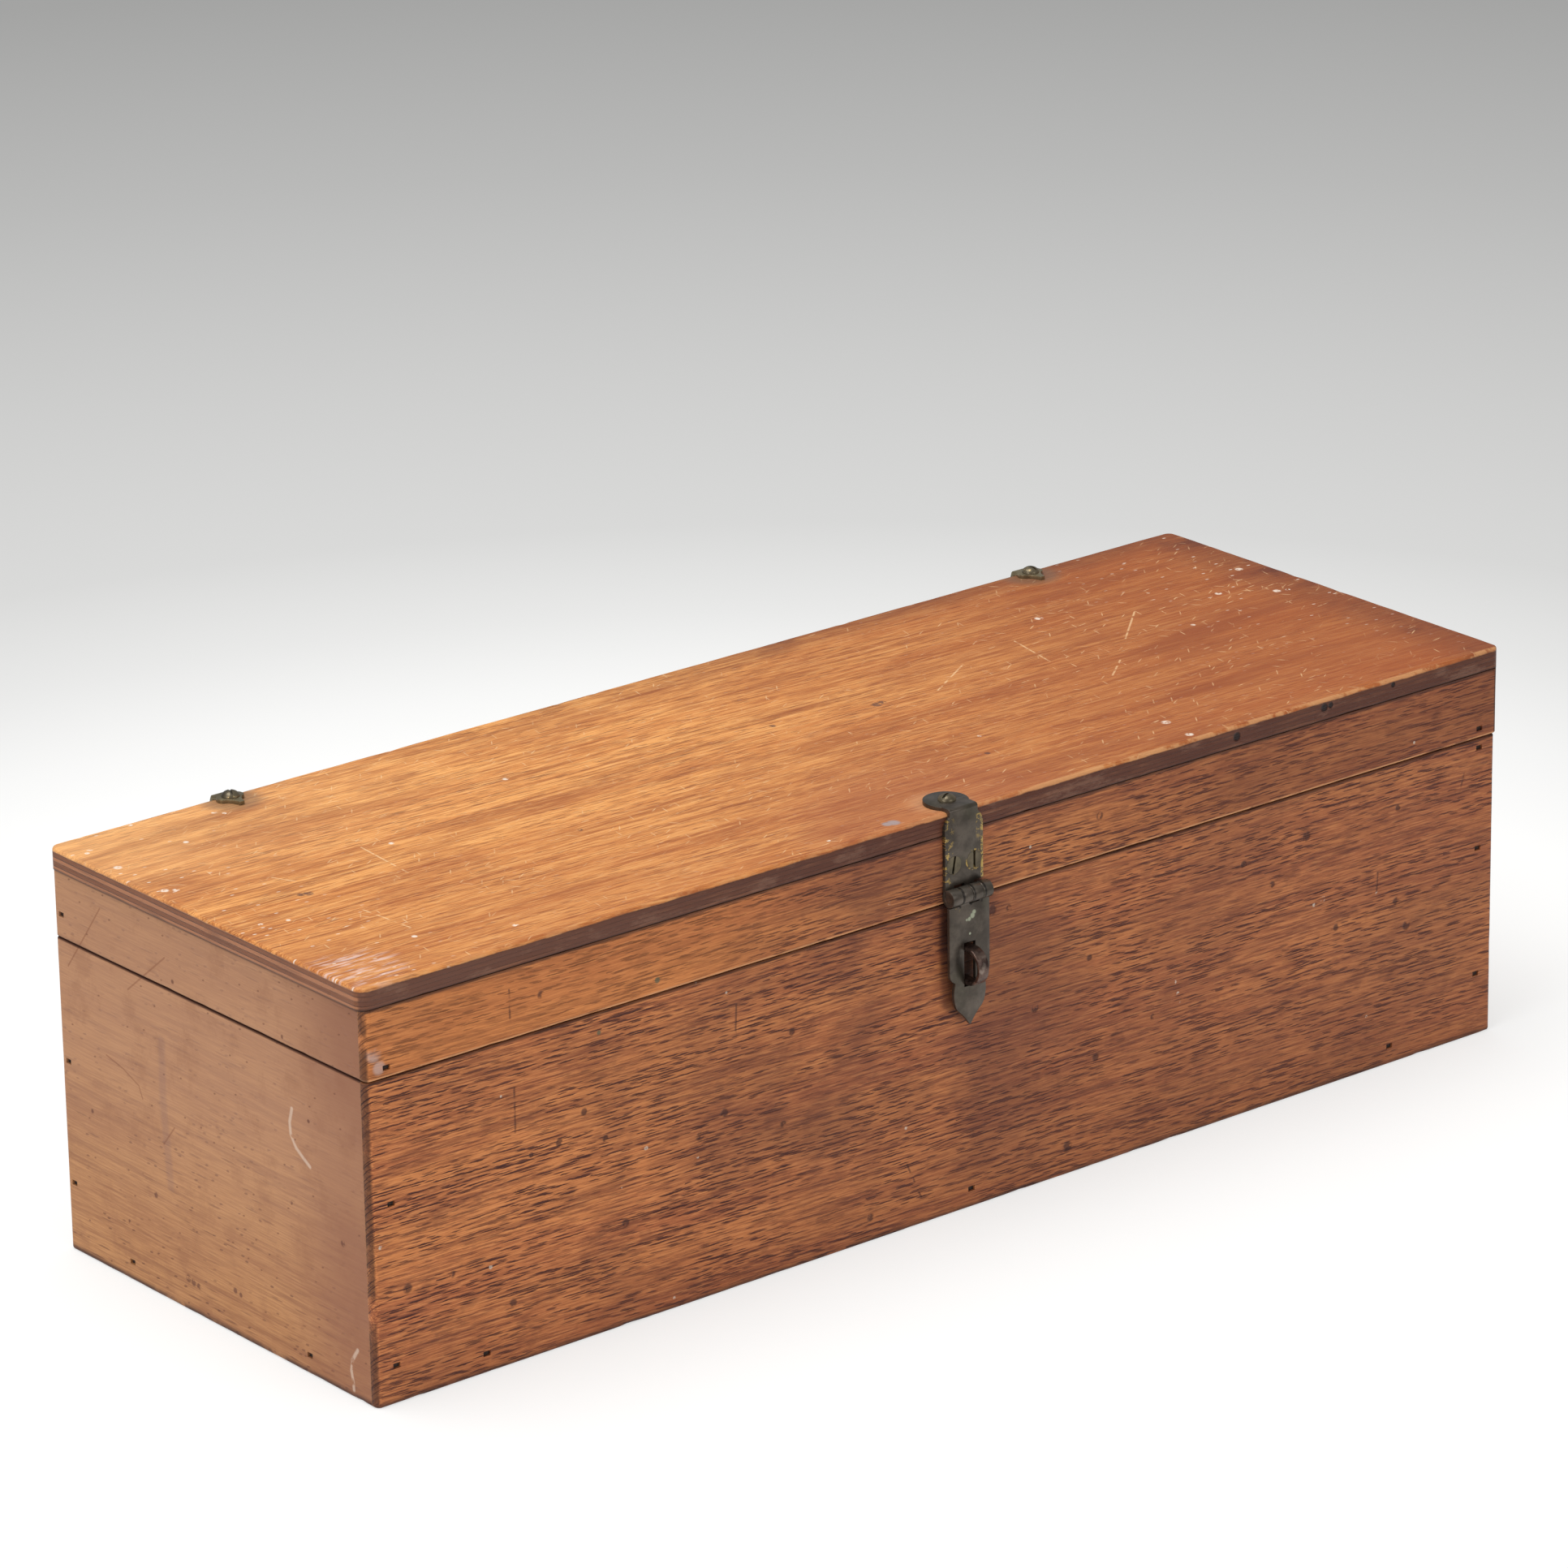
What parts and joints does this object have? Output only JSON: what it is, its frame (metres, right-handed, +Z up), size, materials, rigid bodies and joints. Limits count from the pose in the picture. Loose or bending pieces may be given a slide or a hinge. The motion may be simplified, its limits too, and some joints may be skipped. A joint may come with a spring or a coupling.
{
  "type": "wooden instrument case",
  "caption": "Long low nailed wooden case for a microscope, with a hinged panel lid, a hasp over a staple, and baize-lined saddles and hold-down blocks inside.",
  "frame": {"origin": "middle of the underside of the wooden body, on the surface that it stands on", "axes": "+X along the case, to the right seen from the hasp; +Z up; the hasp is on the -Y side, the hinges on the +Y side"},
  "size_m": [0.4348, 0.1675, 0.1294],
  "materials": {
    "oiled_wood": "oiled, worn, coarse open grain",
    "plywood": "worn clear varnish on plywood",
    "plain_wood": "bare planed wood",
    "dark_brass": "dark patina, bright where rubbed",
    "nail_iron": "rusted dark",
    "baize": "woollen baize"
  },
  "bodies": {
    "case": {"body_front_board": "oiled_wood", "body_back_board": "oiled_wood", "body_left_end": "oiled_wood", "body_right_end": "oiled_wood", "bottom_panel": "plain_wood", "front_corner_nails": "nail_iron", "end_corner_nails": "nail_iron", "bottom_nails": "nail_iron", "staple": "dark_brass", "hinge_lower_leaf_left": "dark_brass", "hinge_lower_leaf_right": "dark_brass", "hinge_pin_left": "dark_brass", "hinge_pin_right": "dark_brass", "hinge_lower_screws": "dark_brass", "saddle_left": "plain_wood", "saddle_right": "plain_wood", "saddle_lining_left": "baize", "saddle_lining_right": "baize"},
    "lid": {"lid_front_rail": "oiled_wood", "lid_back_rail": "oiled_wood", "lid_left_rail": "oiled_wood", "lid_right_rail": "oiled_wood", "lid_panel": "plywood", "lid_front_nails": "nail_iron", "lid_end_nails": "nail_iron", "hinge_upper_leaf_left": "dark_brass", "hinge_upper_leaf_right": "dark_brass", "hinge_upper_screws": "dark_brass", "hinge_tab_screws": "dark_brass", "hasp_strap": "dark_brass", "hasp_strap_screws": "dark_brass", "hasp_tab_screw": "dark_brass", "hasp_pin": "dark_brass", "lid_block_left": "plain_wood", "lid_block_right": "plain_wood", "lid_pad_left": "baize", "lid_pad_right": "baize"},
    "hasp": {"hasp_leaf": "dark_brass"}
  },
  "joints": [
    {"name": "lid_hinge", "type": "hinge", "parent": "case", "child": "lid", "pos_m": [0.155, 0.07885, 0.09835], "axis": [-1, 0, 0], "range_deg": [0, 180]},
    {"name": "hasp_hinge", "type": "hinge", "parent": "lid", "child": "hasp", "pos_m": [-0.0005, -0.07885, 0.1009], "axis": [-1, 0, 0], "range_deg": [0, 180]}
  ]
}
